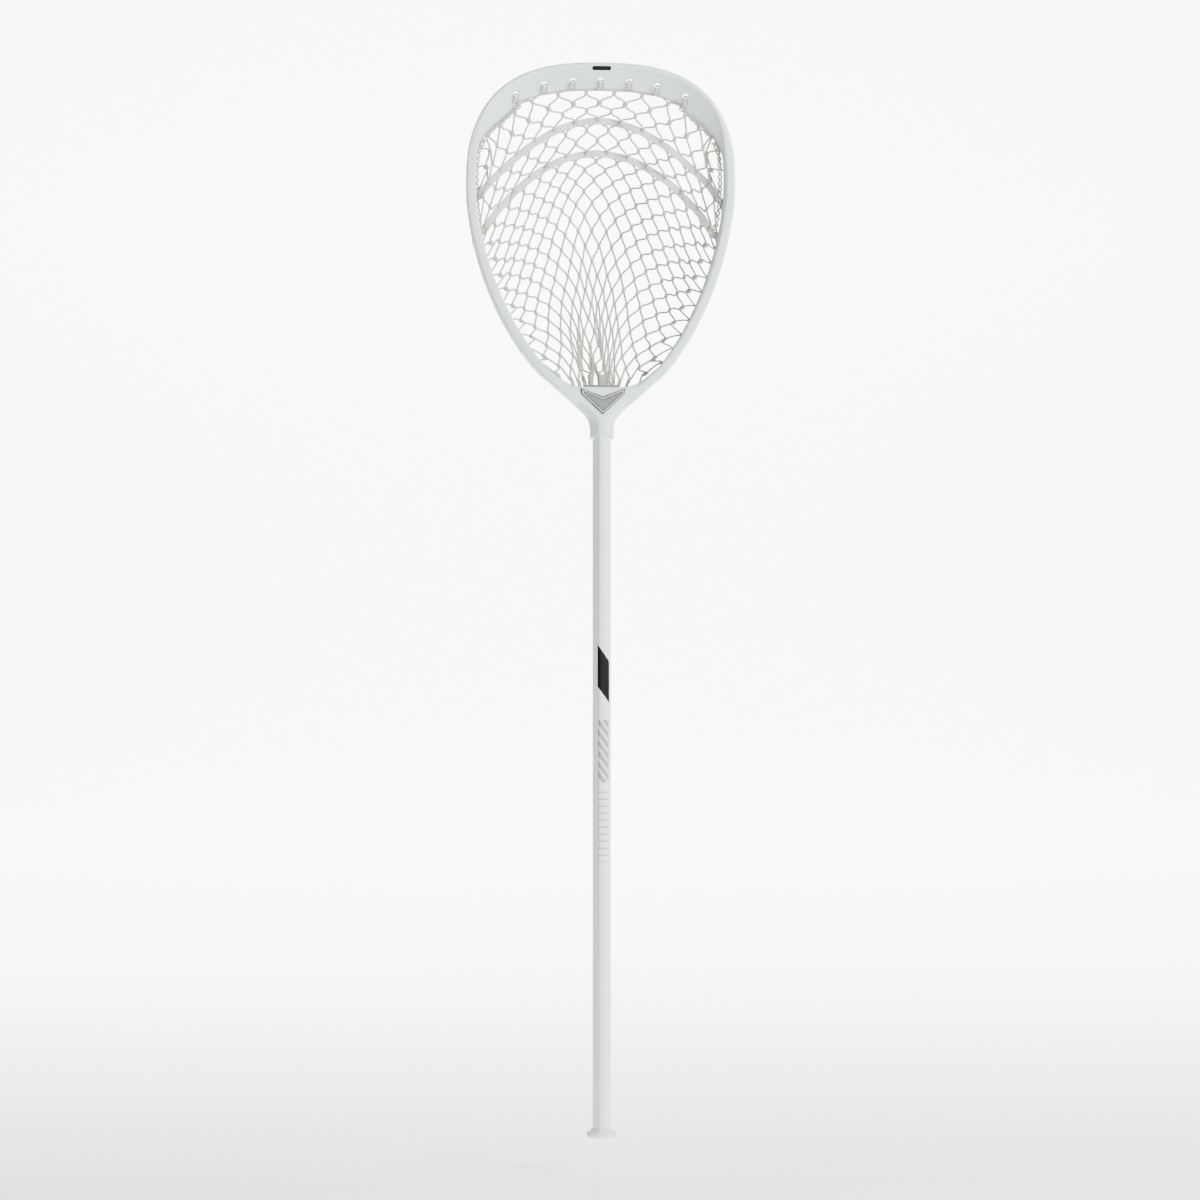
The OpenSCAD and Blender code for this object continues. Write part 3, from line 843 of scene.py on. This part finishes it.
class Net:
    """Knots and cords that can pull but not push, hung from the rim and drawn back by a steady force."""

    def __init__(self):
        self.points, self.fixed, self.cords = [], [], []
        self.knot, self.arcs = {}, []
        self.line = inner_edge()
        self.place_knots()
        self.tie_edges()
        self.lay_laces()

    def add(self, point, fixed=False):
        self.points.append(point)
        self.fixed.append(fixed)
        return len(self.points) - 1

    def place_knots(self):
        chance = np.random.default_rng(4)
        middle = [(0, 367), (3, 334), (6, 286), (9, 248), (13, 195), (24, 19)]
        for row in range(ROWS):
            z_mid = SHELF + np.interp(row, *zip(*middle)) * MM
            z_edge = np.interp(row, range(0, ROWS, 2), TIES)
            edge = edge_at(self.line, z_edge, 1)
            for column in knots_in(row):
                u = column / 6.5
                bag = 90 * MM * math.sin(math.pi * (row + 0.5) / ROWS) * (1 - u * u)
                at = np.array([u * max(edge[0] - 10 * MM, 30 * MM), mix(20 * MM, edge[1], u * u) + bag,
                               mix(z_mid, z_edge, u * u)])
                up = np.array([0, 0, KNOT / 2])
                self.knot[row, column] = (self.add(at + up), self.add(at - up))
                self.cords.append((*self.knot[row, column], KNOT))
        for row, column in list(self.knot):
            for step in (-0.5, 0.5):
                below = self.knot.get((row + 1, column + step))
                if below:
                    length = (CORD if row else TOP_CORD) * (1 + 0.03 * chance.standard_normal())
                    self.cords.append((self.knot[row, column][1], below[0], length))

    def tie_edges(self):
        for column, point in top_ties(self.line).items():
            self.cords.append((self.add(point, True), self.knot[0, column][0], 0.5 * MM))
        for side in (-1, 1):
            pins = [self.add(edge_at(self.line, z, side), True) for z in TIES]
            for n, here in enumerate(pins):
                top, bottom = self.knot[2 * n, 6.5 * side]
                self.cords.append((here, top, (13 if n else 20) * MM))
                if n + 1 < len(pins):
                    gap = np.linalg.norm(self.points[here] - self.points[pins[n + 1]])
                    self.cords.append((pins[n + 1], bottom, math.hypot(gap, 8 * MM)))
        for column in knots_in(ROWS - 1):
            pin = self.add(np.array(THROAT_TIES[column]) * MM + (0, 0, SHELF), True)
            self.cords.append((pin, self.knot[ROWS - 1, column][1], 5 * MM))

    def lay_laces(self):
        """A lace holds a whole row to a fixed length, from wall to wall."""
        self.laces = {}
        for row, (height, arch, length) in LACES.items():
            z = SHELF + height
            ends = [self.add(edge_at(self.line, z, side), True) for side in (-1, 1)]
            chain = [ends[0]] + [self.knot[row, c][1] for c in knots_in(row)] + [ends[1]]
            self.laces[row] = chain
            self.arcs.append((chain[1:-1], z + arch))
            for a, b in zip(chain, chain[1:]):
                self.cords.append((a, b, length / (len(chain) - 1)))

    def settle(self, steps=4000, push=0.02 * MM, lift=0.6):
        """Draws the knots back, and a little up, until the cords hold them."""
        a, b, rest = (np.array(x) for x in zip(*self.cords))
        lattice = {index for pair in self.knot.values() for index in pair}
        least = np.array([0.95 * r if x in lattice and y in lattice and r < 25 * MM else 0
                          for x, y, r in self.cords])
        free = (~np.array(self.fixed))[:, None].astype(float)
        share = 2.4 / np.bincount(np.r_[a, b])[:, None]
        now = np.array(self.points)
        before = now.copy()
        # the pocket is worn in along its middle, so the middle hangs harder than the sides
        worn = SIDE_PUSH + (1 - SIDE_PUSH) * np.exp(-(now[:, 0] / WORN_HALF) ** 2)
        force = worn[:, None] * np.array([0, push, push * lift])
        for _ in range(steps):
            now, before = now + ((now - before) * DAMPING + force) * free, now
            for _ in range(4):
                d = now[b] - now[a]
                length = np.linalg.norm(d, axis=1)
                over = np.maximum(0, length - rest) - STIFF * np.maximum(0, least - length)
                pull = d * (over / np.maximum(length, 1e-9) / 2)[:, None]
                change = np.zeros_like(now)
                np.add.at(change, a, pull)
                np.add.at(change, b, -pull)
                now = now + change * free * share
                # a lace is stiffer than the net, and holds its row to an even arch
                for chain, crown in self.arcs:
                    arch = crown - ARCH_DROP * (now[chain, 0] / ARCH_HALF) ** 2
                    now[chain, 2] += LACE_HOLD * (arch - now[chain, 2])
        self.points = now
        self.open_knots()

    def open_knots(self, share=0.6):
        """Turns each knot towards the direction that its four stiff cords would leave it in."""
        pulls = {index: [] for pair in self.knot.values() for index in pair}
        for a, b, _ in self.cords:
            for here, there in ((a, b), (b, a)):
                if here in pulls:
                    pulls[here].append(there)
        turned = self.points.copy()
        for top, bottom in self.knot.values():
            middle = (self.points[top] + self.points[bottom]) / 2
            free = np.zeros(3)
            for index, other, sign in ((top, bottom, 1), (bottom, top, -1)):
                for end in pulls[index]:
                    if end != other:
                        free += sign * unit(self.points[end] - middle)
            axis = unit(mix(unit(self.points[top] - self.points[bottom]), unit(free), share))
            turned[top], turned[bottom] = middle + axis * KNOT / 2, middle - axis * KNOT / 2
        self.points = turned

    def ends(self, row, column):
        top, bottom = self.knot[row, column]
        return self.points[top], self.points[bottom]


def strand(net, column, side):
    """One cord of the net, all the way down: it zigzags between two columns, and at each knot winds once
    round the strand that it meets. Between knots it hangs in a soft curve."""
    knots = []
    for row in range(ROWS):
        at = column if row % 2 == 0 else column + side / 2
        own = side if row % 2 == 0 else -side
        top, bottom = net.ends(row, at)
        down = unit(bottom - top)
        across = unit(np.cross((0, 1, 0), down))
        across = across if across[0] > 0 else -across
        behind = np.cross(down, across)
        turns = [top + (bottom - top) * t + own * CORD_R * 0.95 * (across * math.cos(math.tau * t)
                                                                   + behind * math.sin(math.tau * t))
                 for t in np.linspace(0, 1, 8)]
        knots.append((turns, down))
    line = []
    for k, (turns, down) in enumerate(knots):
        line += turns
        if k + 1 < len(knots):
            start, stop = turns[-1], knots[k + 1][0][0]
            bend = 0.16 * np.linalg.norm(stop - start)
            first, last = start + down * bend, stop - knots[k + 1][1] * bend
            for t in (0.14, 0.32, 0.5, 0.68, 0.86):
                line.append(start * (1 - t) ** 3 + first * 3 * t * (1 - t) ** 2
                            + last * 3 * t * t * (1 - t) + stop * t ** 3)
    return line


def make_net(net):
    lines = []
    for column in knots_in(0):
        for side in (-1, 1):
            if abs(column + side / 2) <= 6:
                lines.append(strand(net, column, side))
    piece = tubes("pocket_mesh", lines, CORD_R, 7)
    fibre = cord_fibre("net_cord_fibre", (0.27, 0.26, 0.21), (0.62, 0.61, 0.53), 3.4 * MM)
    return dress(piece, fibre, "stick", ["pocket_net"])


def lace_line(net, row):
    """The lace is stiffer than the net: it weaves in and out along a smooth curve through its row, and its
    ends go over the rail."""
    chain = net.laces[row]
    places = np.array([net.points[index] for index in chain])
    ends = []
    for wall, side in ((places[0], -1), (places[-1], 1)):
        ends.append([wall + np.array([side * x, y, z]) * MM
                     for x, y, z in ((-5, 2.5, 3), (1.5, 5.6, -1), (4.2, 6, -7), (4.6, 5.5, -14))])
    across = np.linspace(places[0, 0] * 0.88, places[-1, 0] * 0.88, 13)
    curve = [np.polyval(np.polyfit(places[:, 0], places[:, k], 4), across) for k in (1, 2)]
    weave = np.resize([-1.6 * MM, 1.6 * MM], len(across))
    inside = np.stack([across, curve[0] + weave, curve[1]], axis=1)
    points = np.vstack([ends[0][::-1], inside, ends[1]])
    return flowing(points, 6)


def make_laces(net):
    fabric = woven_lace()
    for name, row, node in (("upper_lace", UPPER_ROW, "upper_shooting_lace"),
                            ("lower_lace", LOWER_ROW, "lower_shooting_lace")):
        piece = tubes(name, [lace_line(net, row)], None, flat=(9 * MM, 1.5 * MM, np.array([0.0, 1.0, 0.0])))
        dress(piece, fabric, "stick", [node])


def rail_point(z, inward, back, side):
    """A point beside the wall's rear rail. inward and back are in mm; back counts from the rail's back."""
    p = side_station(z)
    return on_rim(p, inward * MM, back_y(p[1]) + back * MM) * (side, 1, 1)


def side_string(net, side):
    """From each hole to the net's edge knot, back to the next hole, out through it, and over the rail."""
    points = []
    for n, z in enumerate(TIES):
        top, bottom = net.ends(2 * n, 6.5 * side)
        knot = (top + bottom) / 2
        off = unit(knot - rail_point(z, 12, -4, side)) * 2.0 * MM
        wide = mix(0, 6, scoop_share(z))
        points += [rail_point(z, 3.0, -4.2, side), rail_point(z, 12.6 + wide, -4.2, side), top + off,
                   knot + off * 1.2, bottom + off]
        if n + 1 < len(TIES):
            low = TIES[n + 1]
            points += [rail_point(low + 2.6 * MM, 12.8, -3, side), rail_point(low + 1.6 * MM, 8, 1.2, side),
                       rail_point(low + 0.8 * MM, 3.2, 0.7, side)]
    return flowing(points, 4)


def wound_pair(line, radius, pitch):
    """Two strings that wind round each other along a line."""
    run = np.r_[0, np.cumsum(np.linalg.norm(np.diff(line, axis=0), axis=1))]
    places = np.linspace(0, run[-1], int(run[-1] / (pitch / 8)))
    at = np.stack([np.interp(places, run, line[:, k]) for k in range(3)], axis=1)
    tangent = np.gradient(at, axis=0)
    pair = []
    for phase in (0, math.pi):
        turned = []
        for point, ahead, place in zip(at, tangent, places):
            u = unit(np.cross(unit(ahead), (0, 1, 0)))
            v = np.cross(unit(ahead), u)
            angle = phase + math.tau * place / pitch
            turned.append(point + radius * (u * math.cos(angle) + v * math.sin(angle)))
        pair.append(np.array(turned))
    return pair


def coil(knot, turns, radius):
    """A whipping round a knot of the net."""
    top, bottom = knot
    turn = np.linspace(0, turns * math.tau, 13 * turns)[:, None]
    round_it = np.cos(turn) * (1, 0, 0) + np.sin(turn) * (0, 1, 0)
    return top + (bottom - top) * turn / turn[-1] + radius * round_it


def edge_line(net, z0, z1, side, in_by):
    """The net's edge line between two heights, moved into the opening."""
    picked = net.line[(net.line[:, 2] >= z0) & (net.line[:, 2] <= z1)]
    return (picked - (in_by, 0, 0)) * (side, 1, 1)


def top_string(net):
    """Runs along the scoop's inner edge from knot to knot, with a loop up through each hole."""
    points = []
    for column in knots_in(0):
        top, bottom = net.ends(0, column)
        points += [top + np.array([-1.8, -1.2, 0]) * MM, (top + bottom) / 2 + np.array([0, -2.2, 0]) * MM,
                   top + np.array([1.8, -1.2, 0]) * MM]
        x = column + 0.5
        if abs(x) <= 3:
            hole_x = SCOOP_HOLES[int(x) + 3]
            hole_z = scoop_z(hole_x) - HOLE_DOWN
            edge_z = scoop_z(hole_x) - (SCOOP_W + 1.5 * MM)
            face = scoop_face(hole_x, hole_z)
            up = [(4.2, 14.2 * MM, edge_z), (3.0, 9 * MM, edge_z + 2 * MM),
                  (2.0, face - 1.3 * MM, hole_z - 2.6 * MM), (1.3, face + 3 * MM, hole_z - 0.4 * MM)]
            points += [np.array([hole_x - dx * MM, y, z]) for dx, y, z in up]
            points += [np.array([hole_x + dx * MM, y, z]) for dx, y, z in reversed(up)]
    lines = [flowing(points, 4)]
    # its second pass, straight along the scoop's inner edge
    lines.append(np.array([(x, 13.4 * MM, scoop_z(x) - (SCOOP_W + 2.2 * MM))
                           for x in np.linspace(-106 * MM, 106 * MM, 61)]))
    lines += [coil(net.ends(1, float(column)), 3, 2.4 * MM) for column in range(-4, 5)]
    for side in (-1, 1):
        lines += [coil(net.ends(0, column * side), 3, 2.2 * MM) for column in (4.5, 5.5, 6.5)]
        lines += wound_pair(edge_line(net, TIES[1] + 38 * MM, TOP - 52 * MM, side, 1 * MM), 1.7 * MM, 17 * MM)
    return lines


def scoop_face(x, z):
    """The scoop's front face, front to back, at a place near the row of holes."""
    rim = half_rim(120)
    p = rim[np.argmin(abs(rim[:, 0] - abs(x)) + 10 * (rim[:, 1] < WIDE))]
    inward = (p[1] - z) * p[3] + (p[0] - abs(x)) * p[2]
    f, b = front_y(p[1]), back_y(p[1])
    return mix(f, b, (inward - 2 * MM) / (SCOOP_W - 2 * MM)) - 3.2 * MM


def throat_lines(net):
    """Ties each cord end down behind the ball stop, with two whipped bundles in the middle."""
    points = []
    for column in knots_in(ROWS - 1):
        if column in (-2.5, 0.5):
            continue                # held in a bundle by its neighbour
        bottom = net.ends(ROWS - 1, column)[1]
        x, y, z = THROAT_TIES[column]
        low = max(1.2, z - 9)
        points += [np.array([x - 1.4, y + 1, low]) * MM + (0, 0, SHELF),
                   bottom + np.array([-1.3, -1.3, 1]) * MM, bottom + np.array([1.3, -1.3, 1]) * MM,
                   np.array([x + 1.4, y + 1, low]) * MM + (0, 0, SHELF)]
    lines = [flowing(points[1:-1], 4)]
    turns = 9
    for x in BUNDLES:
        lines.append(np.array([(x * MM + (2.4 + 0.5 * t) * MM * math.cos(turns * math.tau * t),
                                14 * MM + 2.2 * MM * math.sin(turns * math.tau * t),
                                SHELF + (1.2 + 15 * t) * MM) for t in np.linspace(0, 1, turns * 14)]))
    return lines


def side_lines(net, side):
    """The side string, and its doubled tail that is wound along the wall below the scoop."""
    tail = edge_line(net, TIES[3] + 4 * MM, TIES[1] + 34 * MM, side, 2.5 * MM)
    knots = [coil(net.ends(2 * n, 6.5 * side), 2, 2.3 * MM) for n in range(1, len(TIES))]
    return [side_string(net, side)] + wound_pair(tail, 1.9 * MM, 15 * MM) + knots


def make_strings(net):
    fibre = cord_fibre("string_fibre", (0.24, 0.23, 0.17), (0.60, 0.585, 0.49), 4.2 * MM)
    for name, lines, node in (
            ("left_side_string", side_lines(net, -1), "left_sidewall_string"),
            ("right_side_string", side_lines(net, 1), "right_sidewall_string"),
            ("scoop_string", top_string(net), "top_string"),
            ("throat_tie", throat_lines(net), "throat_string")):
        piece = tubes(name, lines, 1.25 * MM, 8)
        dress(piece, fibre, "stick", [node])


# ---- the whole
make_camera()
make_stage()
make_light()
make_head()
make_shaft()
make_cap()
make_badge()
make_ball_stop()
dress_screw()
pocket = Net()
pocket.settle()
make_net(pocket)
make_laces(pocket)
make_strings(pocket)
